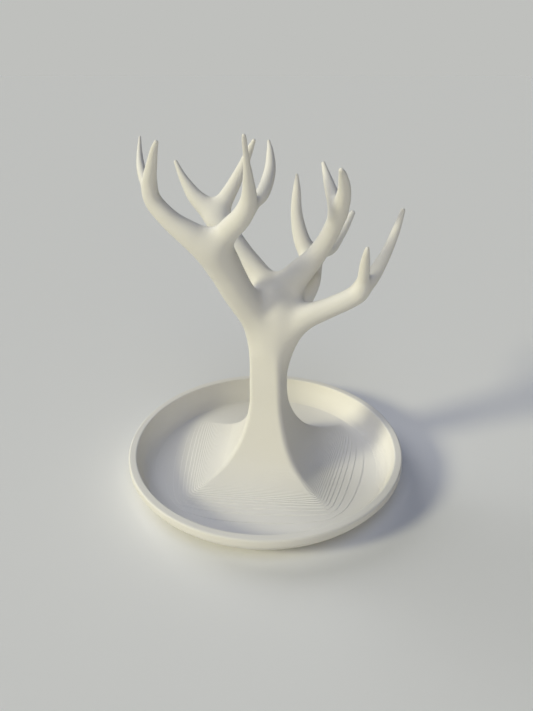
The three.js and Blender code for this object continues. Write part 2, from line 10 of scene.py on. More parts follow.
import bmesh
import bpy
import numpy as np
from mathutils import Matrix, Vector


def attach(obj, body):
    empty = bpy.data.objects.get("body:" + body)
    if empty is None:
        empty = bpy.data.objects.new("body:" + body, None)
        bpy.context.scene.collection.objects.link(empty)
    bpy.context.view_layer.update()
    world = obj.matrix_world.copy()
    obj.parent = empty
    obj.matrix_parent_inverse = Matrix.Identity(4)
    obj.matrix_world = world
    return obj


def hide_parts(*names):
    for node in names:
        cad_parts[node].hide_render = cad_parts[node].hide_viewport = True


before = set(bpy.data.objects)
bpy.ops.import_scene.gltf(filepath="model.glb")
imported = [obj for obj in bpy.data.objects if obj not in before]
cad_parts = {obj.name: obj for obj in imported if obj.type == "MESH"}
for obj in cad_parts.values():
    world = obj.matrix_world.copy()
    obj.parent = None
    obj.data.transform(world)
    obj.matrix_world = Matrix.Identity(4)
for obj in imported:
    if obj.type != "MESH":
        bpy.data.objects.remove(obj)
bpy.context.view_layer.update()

MM = 0.001

# Dish
RIM_RADIUS = 60.0
RIM_HEIGHT = 12.5
RIM_WIDTH = 3.6
RIM_EDGE_RADIUS = 0.8
RIM_BAND_HEIGHT = 3.1
FLOOR_THICKNESS = 2.6
FLOOR_RADIUS = 49.0
WALL_FOOT_RADIUS = 53.5
BASE_RADIUS = 46.0
UNDERSIDE_FOOT_RADIUS = 54.5
DISH_SIDES = 192
UNDERSIDE_STEPS = 20
EDGE_STEPS = 6
WALL_STEPS = 200
SMOOTH_WALL_STRIDE = 6

# Foot and stem
FOOT_REACH = 84.0
FOOT_LIMIT_RADIUS = 48.5
STEM_HALF_WIDTH = 6.8
STEM_OFFSET = 1.3
STEM_TAPER = 0.61
STEM_RISE = 18.8
WAIST_HEIGHT = 40.0
WAIST_TWIST = math.radians(15)
CROWN_TWIST = math.radians(19)
CORNER_SHARE = 0.28
FLARE_RATE = 6.5
FLARE_EASE = 0.05
TWIST_SHARE = 0.5
LIMIT_SHARE = 8.0
SMOOTH_FOOT_STEPS = 60
FOOT_CORNERS = [(1.19, 0.114), (1.0, 0.394), (0.925, 0.611), (0.8, 0.858)]

# Printed layers, which show as steps on gentle slopes and soften with height
LAYER = 0.2
STEPPED_TO = 9.6
WALL_STEPPED_TO = 7.0
FOOT_SOFTENING = 0.85
WALL_SOFTENING = 0.8

# Crown
CROWN_SPAN = 100.0
LIMB_RADIUS = 6.5
FILLET_SHARE = 1.4
EVENED_FROM = (46.0, 52.0)
EVENED_TO = (70.0, 80.0)
EVENING = [(-3.0, 0.25), (0.0, 0.5), (3.0, 0.25)]
CURVE_STEPS = 8
GRID = 0.6
COARSE = 4
CROWN_MARGIN = 9.0
NEAR_SHARE = 1.3
SLOPE_STEP = 0.4
LEAST_SLOPE_SQUARED = 0.25
SETTLE_TURNS = 3
SETTLE_REACH = 0.4 * GRID

# Where the top of the stem is relaxed: heights, and distance round its middle
RELAXED_FROM = (56.0, 66.0)
RELAXED_TO = (84.0, 96.0)
RELAXED_MIDDLE = 2.0
RELAXED_REACH = (22.0, 30.0)
RELAX_TURNS = 40
LAST_RELAX_TURNS = 4
RELAX_FACTORS = (0.5, -0.52)

# Cuts at the joints, as shares of the radius there
WAIST_CUT_SHARE = 2.2
JOINT_CUT_SHARE = 2.6
PROBE_SHARE = 0.8

# Tines
TINE_SIDES = 28
TINE_STEP = 0.5
LEAST_TINE_STEPS = 8
TIP_TURNS = np.linspace(0, 80, 6)[1:]
REACH_TURNS = 12
LEAST_REACH = 0.02
RING_EVENINGS = 4

# Plastic: noise is in waves per metre, and a bump is its strength and its height in metres
PLASTIC_COLOUR = (0.82, 0.80, 0.76, 1)
PLASTIC_SPECULAR = 0.35
PLASTIC_ROUGHNESS = 0.6
ROUGHNESS_RANGE = (0.55, 0.66)
LAYER_WAVES = (60, 60, 2600)
GRAIN_WAVES = (2500, 2500, 2500)
CLOUD_WAVES = (90, 90, 500)
LAYER_BUMP = (0.35, 0.00006)
GRAIN_BUMP = (0.2, 0.00003)

# Stage and camera, in metres and degrees
STAGE_HALF = 3.0
STAGE_COLOUR = (0.82, 0.82, 0.82, 1)
STAGE_ROUGHNESS = 0.6
FILL_COLOUR = (0.90, 0.94, 1.0, 1)
FILL_STRENGTH = 0.01
SEEN_COLOUR = (0.521, 0.527, 0.509, 1)
SENSOR_WIDTH = 36
FOCAL_SHARE = 600 / 711
CAMERA_PLACE = (0.0004, -0.2185, 0.1725)
CAMERA_PITCH = 28.06

# Points along each limb: place in shares of the crown's span and radius in limb radii.
# The saddle fills the valley between the front left limb and the centre limb.
LIMBS = {
    "front_left": [
        (.008, .001, .14, .25), (-.02, -.002, .235, .698), (-.036, -.017, .335, .859),
        (-.105, -.06, .47, .874), (-.163, -.1, .6, .92), (-.226, -.13, .68, .8),
        (-.322, -.13, .755, .55),
        (-.384, -.12, .825, .46), (-.389, -.13, .89, .38), (-.37, -.17, .955, .27),
        (-.351, -.21, 1.007, .18), (-.337, -.24, 1.034, .11)],
    "outer_left_rear": [
        (-.398, -.11, .85, .22), (-.414, -.09, .886, .26), (-.432, -.04, .92, .23),
        (-.444, .02, .955, .16), (-.45, .08, 1.005, .06)],
    "inner_left": [
        (-.158, -.1, .6, .55), (-.164, -.13, .67, .65), (-.129, -.15, .728, .62),
        (-.08, -.18, .786, .55), (-.055, -.2, .847, .43), (-.054, -.24, .92, .28),
        (-.057, -.29, .99, .15), (-.061, -.33, 1.05, .12), (-.062, -.345, 1.0685, .09)],
    "inner_left_rear": [
        (-.051, -.18, .82, .28), (-.01, -.12, .85, .37), (.015, -.04, .906, .32),
        (.017, .02, .96, .2), (.012, .05, .995, .08)],
    "centre": [
        (.018, -.002, .14, .343), (.028, .01, .25, .797), (.056, .009, .35, .965),
        (.105, .049, .465, .878), (.19, .085, .551, .64), (.245, .075, .645, .54),
        (.277, .04, .756, .51), (.282, -.015, .835, .38), (.268, -.07, .895, .25),
        (.257, -.1, .923, .14)],
    "centre_rear": [
        (.272, .05, .739, .34), (.256, .08, .784, .4), (.242, .12, .827, .32),
        (.231, .16, .863, .21), (.222, .19, .893, .12)],
    "rear_left": [
        (.046, .028, .363, .675), (-.003, .078, .444, .8), (-.095, .155, .54, .75),
        (-.17, .22, .628, .72), (-.235, .26, .7, .63), (-.288, .28, .748, .48),
        (-.334, .3, .817, .26), (-.362, .32, .875, .12)],
    "rear_left_inner": [
        (-.19, .24, .664, .51), (-.173, .26, .72, .54), (-.134, .275, .785, .43),
        (-.09, .28, .867, .31), (-.065, .27, .924, .23), (-.045, .26, .966, .11)],
    "rear_right": [
        (.045, .017, .24, .354), (.079, .036, .285, .675), (.138, .09, .352, .69),
        (.185, .155, .43, .66), (.186, .22, .498, .62), (.15, .27, .575, .52),
        (.13, .31, .666, .38), (.129, .33, .761, .26), (.129, .34, .82, .09)],
    "rear_right_outer": [
        (.189, .2, .494, .45), (.229, .25, .518, .45), (.28, .3, .524, .42),
        (.317, .34, .561, .34), (.346, .37, .6, .29), (.376, .4, .647, .18)],
    "right": [
        (.044, .01, .14, .683), (.058, -.003, .22, .85), (.09, -.023, .285, .812),
        (.148, -.042, .348, .757), (.25, -.055, .4, .61), (.338, -.06, .449, .58),
        (.381, -.05, .494, .51), (.421, -.01, .529, .43), (.465, .03, .595, .32),
        (.497, .06, .665, .25), (.521, .08, .74, .14)],
    "right_front": [
        (.354, -.07, .466, .32), (.363, -.08, .518, .34), (.361, -.11, .59, .29),
        (.358, -.14, .644, .18), (.358, -.15, .665, .11)],
    "saddle": [
        (.05, 0, .2, .3), (.05, -.02, .3, .55), (.045, -.02, .38, .6), (.045, -.005, .43, .4)],
}

# The front left limb keeps the stem's flat front for its first part
SQUARE_LIMBS = {"front_left": (3.2, 2.2)}
SQUARE_END_SHARE = 0.4
FLAT_SIDE = np.array([-0.30, -0.954, 0.0])

# Where each piece starts: its limb and how far along that limb's points
JOINTS = {
    "front_left_limb": ("front_left", .255),
    "outer_left_fork": ("front_left", .5),
    "inner_left_fork": ("inner_left", .25),
    "centre_fork": ("centre", .42),
    "rear_left_fork": ("rear_left", .24),
    "rear_right_fork": ("rear_right", .41),
    "right_fork": ("right", .37),
    "outer_left_front_tine": ("front_left", .73),
    "outer_left_rear_tine": ("outer_left_rear", .42),
    "inner_left_front_tine": ("inner_left", .6),
    "inner_left_rear_tine": ("inner_left_rear", .33),
    "centre_front_tine": ("centre", .73),
    "centre_rear_tine": ("centre_rear", .4),
    "rear_left_outer_tine": ("rear_left", .68),
    "rear_left_inner_tine": ("rear_left_inner", .33),
    "rear_right_inner_tine": ("rear_right", .6),
    "rear_right_outer_tine": ("rear_right_outer", .3),
    "right_outer_tine": ("right", .73),
    "right_front_tine": ("right_front", .33),
}


# Implicit crown
def catmull(rows):
    rows = np.asarray(rows, float)
    guided = np.vstack([2 * rows[0] - rows[1], rows, 2 * rows[-1] - rows[-2]])
    line = []
    for a, b, c, d in zip(guided, guided[1:], guided[2:], guided[3:]):
        for t in np.arange(CURVE_STEPS) / CURVE_STEPS:
            line.append(0.5 * (2 * b + (c - a) * t + (2 * a - 5 * b + 4 * c - d) * t ** 2
                               + (3 * b - a - 3 * c + d) * t ** 3))
    line.append(rows[-1])
    return np.array(line)


def limb_line(rows):
    scaled = np.array(rows, float)
    scaled[:, :3] *= CROWN_SPAN
    scaled[:, 2] += WAIST_HEIGHT
    scaled[:, 3] *= LIMB_RADIUS
    return catmull(scaled)


LINES = {name: limb_line(rows) for name, rows in LIMBS.items()}


def limb_field(points, line, square):
    best = np.full(len(points), 1e9)
    radius = np.zeros(len(points))
    count = len(line) - 1
    for step in range(count):
        a, b = line[step], line[step + 1]
        along = b[:3] - a[:3]
        t = np.clip(((points - a[:3]) @ along) / (along @ along), 0, 1)
        offset = points - a[:3] - t[:, None] * along
        here = a[3] + t * (b[3] - a[3])
        distance = np.sqrt((offset ** 2).sum(1))
        if square:
            share = np.clip((step + t) / count / SQUARE_END_SHARE, 0, 1)
            power = square[0] + (square[1] - square[0]) * share
            axis = along / np.linalg.norm(along)
            normal = FLAT_SIDE - axis * (FLAT_SIDE @ axis)
            normal /= np.linalg.norm(normal)
            first = np.abs(offset @ normal)
            second = np.sqrt(np.maximum(distance ** 2 - first ** 2, 0))
            high = np.maximum(first, second) + 1e-6
            low = np.minimum(first, second)
            distance = high * (1 + (low / high) ** power) ** (1 / power)
        distance = distance - here
        closer = distance < best
        best[closer] = distance[closer]
        radius[closer] = here[closer]
    return best, radius


def stem_field(points):
    rise = (points[:, 2] - WAIST_HEIGHT) / STEM_RISE
    half = STEM_HALF_WIDTH - STEM_TAPER * np.maximum(rise, 0) ** 2
    corner = CORNER_SHARE * half
    core = half - corner
    twist = WAIST_TWIST + (CROWN_TWIST - WAIST_TWIST) * rise
    x = points[:, 0] - STEM_OFFSET
    y = points[:, 1]
    across = np.abs(x * np.cos(twist) - y * np.sin(twist)) - core
    back = np.abs(x * np.sin(twist) + y * np.cos(twist)) - core
    over = points[:, 2] - WAIST_HEIGHT - (STEM_RISE - corner)
    outside = np.sqrt(
        np.maximum(across, 0) ** 2 + np.maximum(back, 0) ** 2 + np.maximum(over, 0) ** 2)
    return outside + np.minimum(np.maximum(np.maximum(across, back), over), 0) - corner


def plain_crown_field(points):
    total = stem_field(points)
    for name, line in LINES.items():
        reach = line[:, 3].max() * (1 + FILLET_SHARE) + 1
        low = line[:, :3].min(0) - reach
        high = line[:, :3].max(0) + reach
        near = ((points > low) & (points < high)).all(1)
        if not near.any():
            continue
        distance, radius = limb_field(points[near], line, SQUARE_LIMBS.get(name))
        fillet = FILLET_SHARE * radius
        before = total[near]
        mix = np.clip(0.5 + 0.5 * (distance - before) / fillet, 0, 1)
        total[near] = distance * (1 - mix) + before * mix - fillet * mix * (1 - mix)
    return total


def crown_field(points):
    """Distance to the crown, evened out in height round the top of the stem."""
    total = plain_crown_field(points)
    height = points[:, 2]
    share = smoothstep(height, *EVENED_FROM) * (1 - smoothstep(height, *EVENED_TO))
    near = share > 0
    if near.any():
        evened = sum(
            weight * plain_crown_field(points[near] + (0, 0, shift)) for shift, weight in EVENING)
        total[near] += share[near] * (evened - total[near])
    return total


def gradient(points):
    slope = np.empty_like(points)
    for axis in range(3):
        shift = np.zeros(3)
        shift[axis] = SLOPE_STEP
        rise = crown_field(points + shift) - crown_field(points - shift)
        slope[:, axis] = rise / (2 * SLOPE_STEP)
    return slope


def settle(points):
    """Moves the points onto the surface."""
    for _ in range(SETTLE_TURNS):
        slope = gradient(points)
        size = np.maximum((slope ** 2).sum(1), LEAST_SLOPE_SQUARED)
        move = -slope * (crown_field(points) / size)[:, None]
        length = np.linalg.norm(move, axis=1, keepdims=True)
        points = points + move * np.minimum(1, SETTLE_REACH / np.maximum(length, 1e-9))
    return points


# Surface of the crown
def crown_values():
    """Distances on a grid, worked out only in the coarse cells near the surface."""
    low = np.min([line[:, :3].min(0) for line in LINES.values()], axis=0) - CROWN_MARGIN
    high = np.max([line[:, :3].max(0) for line in LINES.values()], axis=0) + CROWN_MARGIN
    low[2] = WAIST_HEIGHT - COARSE * GRID
    big = GRID * COARSE
    cells = np.ceil((high - low) / big).astype(int)
    corners = np.stack(np.meshgrid(*[np.arange(n + 1) for n in cells], indexing="ij"), -1)
    coarse = crown_field(low + big * corners.reshape(-1, 3)).reshape(corners.shape[:3])
    least = np.full(cells, np.inf)
    for a, b, c in product((0, 1), repeat=3):
        part = coarse[a:a + cells[0], b:b + cells[1], c:c + cells[2]]
        least = np.minimum(least, np.abs(part))
    near = least < NEAR_SHARE * big
    sign = np.where(coarse[:-1, :-1, :-1] < 0, -1.0, 1.0)
    spread = sign.repeat(COARSE, 0).repeat(COARSE, 1).repeat(COARSE, 2)
    values = np.pad(spread, ((0, 1),) * 3, mode="edge")
    fine = np.zeros(values.shape, bool)
    for i, j, k in np.argwhere(near) * COARSE:
        fine[i:i + COARSE + 1, j:j + COARSE + 1, k:k + COARSE + 1] = True
    places = np.argwhere(fine)
    values[fine] = crown_field(low + GRID * places)
    return values, low


def surface_net(values, low):
    """One point in each cell that the surface crosses, and a quad round each crossed edge."""
    inside = values < 0
    shape = np.array(values.shape) - 1
    count = np.zeros(shape, int)
    for a, b, c in product((0, 1), repeat=3):
        count += inside[a:a + shape[0], b:b + shape[1], c:c + shape[2]]
    cells = np.argwhere((count > 0) & (count < 8))
    index = np.full(shape, -1)
    index[tuple(cells.T)] = np.arange(len(cells))
    total = np.zeros((len(cells), 3))
    hits = np.zeros(len(cells))
    for axis in range(3):
        step = np.eye(3, dtype=int)[axis]
        for a, b in product((0, 1), repeat=2):
            corner = np.insert([a, b], axis, 0)
            first = values[tuple((cells + corner).T)]
            second = values[tuple((cells + corner + step).T)]
            crossed = (first < 0) != (second < 0)
            t = np.where(crossed, first / np.where(crossed, first - second, 1), 0)
            total += np.where(crossed[:, None], corner + t[:, None] * step, 0)
            hits += crossed
    points = low + GRID * (cells + total / hits[:, None])
    quads = []
    for axis in range(3):
        step = np.eye(3, dtype=int)[axis]
        u = np.eye(3, dtype=int)[(axis + 1) % 3]
        v = np.eye(3, dtype=int)[(axis + 2) % 3]
        span = np.array(values.shape) - step
        first = inside[:span[0], :span[1], :span[2]]
        second = inside[step[0]:, step[1]:, step[2]:]
        edges = np.argwhere(first != second)
        edges = edges[(edges[:, (axis + 1) % 3] > 0) & (edges[:, (axis + 2) % 3] > 0)]
        edges = edges[(edges < shape).all(1)]
        ring = [index[tuple((edges - s).T)] for s in (0 * u, u, u + v, v)]
        faces = np.stack(ring, 1)
        enters = ~first[tuple(edges.T)]
        faces[enters] = faces[enters][:, ::-1]
        quads.append(faces)
    return points, np.vstack(quads)


def smoothstep(value, low, high):
    t = np.clip((value - low) / (high - low), 0, 1)
    return t * t * (3 - 2 * t)


def relax(points, quads, weight, turns):
    """Takes out short waves and leaves long ones, where the weight says so."""
    ends = np.vstack([quads[:, [0, 1]], quads[:, [1, 2]], quads[:, [2, 3]], quads[:, [3, 0]]])
    ends = np.unique(np.sort(ends, axis=1), axis=0)
    a, b = ends.T
    count = len(points)
    degree = np.bincount(a, minlength=count) + np.bincount(b, minlength=count)
    for _ in range(turns):
        for factor in RELAX_FACTORS:
            mean = np.stack([
                (np.bincount(a, points[b, axis], count) + np.bincount(b, points[a, axis], count))
                / degree for axis in range(3)], 1)
            points = points + factor * weight[:, None] * (mean - points)
    return points


def quad_normals(points, quads):
    first = points[quads[:, 2]] - points[quads[:, 0]]
    second = points[quads[:, 3]] - points[quads[:, 1]]
    area = np.cross(first, second)
    normals = np.stack([
        sum(np.bincount(quads[:, corner], area[:, axis], len(points)) for corner in range(4))
        for axis in range(3)], 1)
    return normals / np.maximum(np.linalg.norm(normals, axis=1, keepdims=True), 1e-12)


def limb_at(name, share):
    """Place, direction and radius at a share of the limb's points."""
    line = LINES[name]
    place = min(share, 1) * (len(line) - 1)
    start = min(int(place), len(line) - 2)
    a, b = line[start], line[start + 1]
    middle = a + (place - start) * (b - a)
    direction = (b - a)[:3] / np.linalg.norm((b - a)[:3])
    return middle[:3], direction, middle[3]


def cut_loop(bm, place, normal, reach):
    """Cuts the surface across at a joint and parts it there."""
    centre = Vector(place)
    faces = [f for f in bm.faces if (f.verts[0].co - centre).length < reach]
    geom = dict.fromkeys(faces)
    for face in faces:
        geom.update(dict.fromkeys(face.edges))
        geom.update(dict.fromkeys(face.verts))
    cut = bmesh.ops.bisect_plane(
        bm, geom=list(geom), dist=1e-5, plane_co=centre, plane_no=Vector(normal))
    edges = {e for e in cut["geom_cut"] if isinstance(e, bmesh.types.BMEdge)}
    best, least = None, math.inf
    while edges:
        start = edges.pop()
        group, queue = {start}, [start]
        while queue:
            for vert in queue.pop().verts:
                for edge in vert.link_edges:
                    if edge in edges:
                        edges.discard(edge)
                        group.add(edge)
                        queue.append(edge)
        verts = {v for e in group for v in e.verts}
        middle = sum((v.co for v in verts), Vector()) / len(verts)
        if len(group) == len(verts) and (middle - centre).length < least:
            best, least = group, (middle - centre).length
    bm.edges.index_update()
    bmesh.ops.split_edges(bm, edges=sorted(best, key=lambda edge: edge.index))


def islands(bm):
    """Vertices of each part of the surface that hangs together."""
    bm.verts.index_update()
    bm.faces.index_update()
    seen = np.zeros(len(bm.verts), bool)
    found = []
    for vert in bm.verts:
        if seen[vert.index]:
            continue
        seen[vert.index] = True
        group, queue = [vert], [vert]
        while queue:
            for edge in queue.pop().link_edges:
                for end in edge.verts:
                    if not seen[end.index]:
                        seen[end.index] = True
                        group.append(end)
                        queue.append(end)
        found.append(group)
    return found


# Meshes
def make_object(name, points, faces, normals, smooth, material):
    """One closed piece: loop normals are the given ones where a face is smooth."""
    mesh = bpy.data.meshes.new(name)
    mesh.from_pydata(
        [tuple(p * MM) for p in points], [], [tuple(int(i) for i in f) for f in faces])
    mesh.update()
    loops = np.empty(len(mesh.loops), int)
    mesh.loops.foreach_get("vertex_index", loops)
    flat = np.empty(len(mesh.polygons) * 3)
    mesh.polygons.foreach_get("normal", flat)
    flat = flat.reshape(-1, 3)
    sizes = np.array([len(f) for f in faces])
    owner = np.repeat(np.arange(len(faces)), sizes)
    mesh.polygons.foreach_set("use_smooth", np.ones(len(faces), bool))
    smooth = np.asarray(smooth, bool)
    split = np.where(smooth[owner][:, None], normals[loops], flat[owner])
    mesh.normals_split_custom_set(split.tolist())
    mesh.materials.append(material)
    obj = bpy.data.objects.new(name, mesh)
    bpy.context.collection.objects.link(obj)
    return obj


def ring_faces(levels, sides, flat, flat_end):
    """Faces of a stack of rings with a fan at each end; flat says which bands aren't smooth."""
    def at(level, side):
        return 1 + level * sides + side % sides

    last = 1 + levels * sides
    faces = [(0, at(0, side + 1), at(0, side)) for side in range(sides)]
    smooth = [False] * sides
    for level in range(levels - 1):
        for side in range(sides):
            faces.append((
                at(level, side), at(level, side + 1), at(level + 1, side + 1), at(level + 1, side)))
            smooth.append(not flat[level + 1])
    for side in range(sides):
        faces.append((last, at(levels - 1, side), at(levels - 1, side + 1)))
        smooth.append(not flat_end)
    return faces, smooth


def vertex_normals(points, faces, smooth):
    normals = np.zeros((len(points), 3))
    for face, use in zip(faces, smooth):
        if not use:
            continue
        p = points[list(face)]
        area = np.cross(p[1] - p[0], p[2] - p[0])
        if len(face) == 4:
            area = area + np.cross(p[2] - p[0], p[3] - p[0])
        for index in face:
            normals[index] += area
    return normals / np.maximum(np.linalg.norm(normals, axis=1, keepdims=True), 1e-12)


# Dish and foot
def section_reach(angle, half, corner_share):
    """Distance from the middle to the side of a square with rounded corners."""
    corner = corner_share * half
    core = half - corner
    along = np.maximum(np.abs(np.cos(angle)), np.abs(np.sin(angle)))
    beside = np.minimum(np.abs(np.cos(angle)), np.abs(np.sin(angle)))
    rounded = core * (along + beside) + np.sqrt(
        np.maximum(corner ** 2 - (core * (along - beside)) ** 2, 0))
    return np.where(half * beside <= core * along, half / along, rounded)


def foot_outline(height):
    """Outline of the foot: a square at the waist that turns and flares into four corners."""
    rise = min(max((height - FLOOR_THICKNESS) / (WAIST_HEIGHT - FLOOR_THICKNESS), 0), 1)
    last = math.exp(-FLARE_RATE)
    spread = -math.log(last + (1 - last) * rise) / FLARE_RATE
    spread = math.hypot(spread, FLARE_EASE) - FLARE_EASE
    angle = np.arange(DISH_SIDES) / DISH_SIDES * 2 * math.pi
    reach = section_reach(angle, 1.0, CORNER_SHARE * ((1 - spread) ** 4 + spread ** 2.5))
    u, v = reach * np.cos(angle), reach * np.sin(angle)
    weights = [(1 + u) * (1 + v), (1 - u) * (1 + v), (1 - u) * (1 - v), (1 + u) * (1 - v)]
    outline = np.zeros((DISH_SIDES, 2)) + (STEM_OFFSET, 0)
    for quarter, (reach_share, turn_share) in enumerate(FOOT_CORNERS):
        waist = (quarter + 0.5) * math.pi / 2 - WAIST_TWIST
        turn = waist + (turn_share * 2 * math.pi - waist) * spread ** TWIST_SHARE
        size = math.sqrt(2) * STEM_HALF_WIDTH
        size += (FOOT_REACH * reach_share - size) * spread
        outline += weights[quarter][:, None] / 4 * size * np.array([math.cos(turn), math.sin(turn)])
    crowding = (np.linalg.norm(outline, axis=1) / FOOT_LIMIT_RADIUS) ** LIMIT_SHARE
    return outline * ((1 + crowding) ** (-1 / LIMIT_SHARE))[:, None]


def bezier(a, b, c, count):
    t = np.linspace(0, 1, count)[:, None]
    return (1 - t) ** 2 * np.array(a) + 2 * t * (1 - t) * np.array(b) + t ** 2 * np.array(c)


def arc(x, y, start, end):
    t = np.linspace(start, end, EDGE_STEPS)
    return np.stack([x + RIM_EDGE_RADIUS * np.cos(t), y + RIM_EDGE_RADIUS * np.sin(t)], 1)


def make_dish(material):
    angle = np.arange(DISH_SIDES) / DISH_SIDES * 2 * math.pi
    circle = np.stack([np.cos(angle), np.sin(angle)], 1)
    rings, flat = [], []

    def add(outline, height, flat_below=False):
        rings.append(np.column_stack([outline, np.full(DISH_SIDES, height)]))
        flat.append(flat_below)

    def wall_circle(height):
        return circle * float(np.interp(height, wall[::-1, 1], wall[::-1, 0]))

    edge_height = RIM_HEIGHT - RIM_EDGE_RADIUS
    inner = RIM_RADIUS - RIM_WIDTH
    under = bezier(
        (BASE_RADIUS, 0), (UNDERSIDE_FOOT_RADIUS, 0), (RIM_RADIUS, RIM_HEIGHT - RIM_BAND_HEIGHT),
        UNDERSIDE_STEPS)
    profile = np.vstack([
        under,
        arc(RIM_RADIUS - RIM_EDGE_RADIUS, edge_height, 0, math.pi / 2),
        arc(inner + RIM_EDGE_RADIUS, edge_height, math.pi / 2, math.pi)])
    wall = bezier(
        (inner, edge_height), (WALL_FOOT_RADIUS, FLOOR_THICKNESS), (FLOOR_RADIUS, FLOOR_THICKNESS),
        WALL_STEPS)
    for step, (radius, height) in enumerate(profile):
        add(circle * radius, height, step == 0)
    smooth_wall = wall[wall[:, 1] > WALL_STEPPED_TO][::SMOOTH_WALL_STRIDE]
    for radius, height in smooth_wall[1:]:
        add(circle * radius, height)
    count = int(round((WALL_STEPPED_TO - FLOOR_THICKNESS) / LAYER))
    for layer in range(count, 0, -1):
        top = FLOOR_THICKNESS + LAYER * layer
        amount = 1 - WALL_SOFTENING * layer / count
        spread = (1 - amount) * LAYER / 2
        add(wall_circle(top - LAYER / 2 + spread), top, True)
        add(wall_circle(top - LAYER / 2 - spread), top - LAYER, True)
    count = int(round((STEPPED_TO - FLOOR_THICKNESS) / LAYER))
    for layer in range(count):
        low = FLOOR_THICKNESS + LAYER * layer
        amount = 1 - FOOT_SOFTENING * layer / (count - 1)
        spread = (1 - amount) * LAYER / 2
        add(foot_outline(low + LAYER / 2 - spread), low, True)
        add(foot_outline(low + LAYER / 2 + spread), low + LAYER, True)
    for height in np.linspace(STEPPED_TO, WAIST_HEIGHT, SMOOTH_FOOT_STEPS)[1:]:
        add(foot_outline(height), height)

    points = np.vstack([[(0, 0, 0)], *rings, [(STEM_OFFSET, 0, WAIST_HEIGHT)]])
    faces, smooth = ring_faces(len(rings), DISH_SIDES, flat, True)
    normals = vertex_normals(points, faces, smooth)
    return make_object("printed_dish", points, faces, normals, smooth, material)


# Tines
def reach_to_surface(centre, directions, start):
    reach = np.array(start, float)
    for _ in range(REACH_TURNS):
        reach -= crown_field(centre + directions * reach[:, None])
    return np.maximum(reach, LEAST_REACH)


def make_tine(name, material):
    """Rings across the limb from its joint to its rounded tip."""
    limb, joint_share = JOINTS[name]
    line = LINES[limb]
    first, heading, _ = limb_at(limb, joint_share)
    last, _, last_radius = limb_at(limb, 1)
    span = sum(np.linalg.norm(b[:3] - a[:3]) for a, b in zip(line, line[1:])) * (1 - joint_share)
    count = max(LEAST_TINE_STEPS, int(span / TINE_STEP))
    side = np.cross((0.0, 1.0, 0.0), heading)
    side /= np.linalg.norm(side)
    stations = [
        limb_at(limb, joint_share + (1 - joint_share) * s / count) for s in range(count + 1)]
    end_direction = stations[-1][1]
    for turn in np.radians(TIP_TURNS):
        forward = last_radius * math.sin(turn)
        radius = last_radius * math.cos(turn)
        stations.append((last + end_direction * forward, end_direction, radius))
    levels = len(stations)
    angles = np.arange(TINE_SIDES) / TINE_SIDES * 2 * math.pi
    centres, spokes, starts = [], [], []
    for step, (centre, direction, radius) in enumerate(stations):
        if step > 0:
            beside = np.clip(np.arange(step - 2, step + 3), 0, levels - 1)
            direction = np.mean([stations[s][1] for s in beside], axis=0)
        direction = direction / np.linalg.norm(direction)
        side = side - direction * (side @ direction)
        side /= np.linalg.norm(side)
        other = np.cross(direction, side)
        spokes.append(np.cos(angles)[:, None] * side + np.sin(angles)[:, None] * other)
        centres.append(np.tile(centre, (TINE_SIDES, 1)))
        starts.append(np.full(TINE_SIDES, radius))
    centres, spokes = np.vstack(centres), np.vstack(spokes)
    reach = reach_to_surface(centres, spokes, np.hstack(starts)).reshape(levels, TINE_SIDES)
    for _ in range(RING_EVENINGS):
        reach = 0.25 * np.roll(reach, 1, axis=1) + 0.5 * reach + 0.25 * np.roll(reach, -1, axis=1)
        reach[1:count] = 0.25 * reach[:count - 1] + 0.5 * reach[1:count] + 0.25 * reach[2:count + 1]
    surface = centres + spokes * reach.reshape(-1)[:, None]
    tip = last + end_direction * last_radius
    points = np.vstack([[first], surface, [tip]])
    rings = surface.reshape(levels, TINE_SIDES, 3)
    around = np.roll(rings, -1, axis=1) - np.roll(rings, 1, axis=1)
    normals = np.cross(around, np.gradient(rings, axis=0)).reshape(-1, 3)
    sign = np.sign((normals * spokes).sum(1))[:, None]
    normals *= sign / np.linalg.norm(normals, axis=1, keepdims=True)
    normals = np.vstack([[-heading], normals, [end_direction]])
    faces, smooth = ring_faces(levels, TINE_SIDES, [False] * levels, False)
    return make_object("printed_" + name, points, faces, normals, smooth, material)


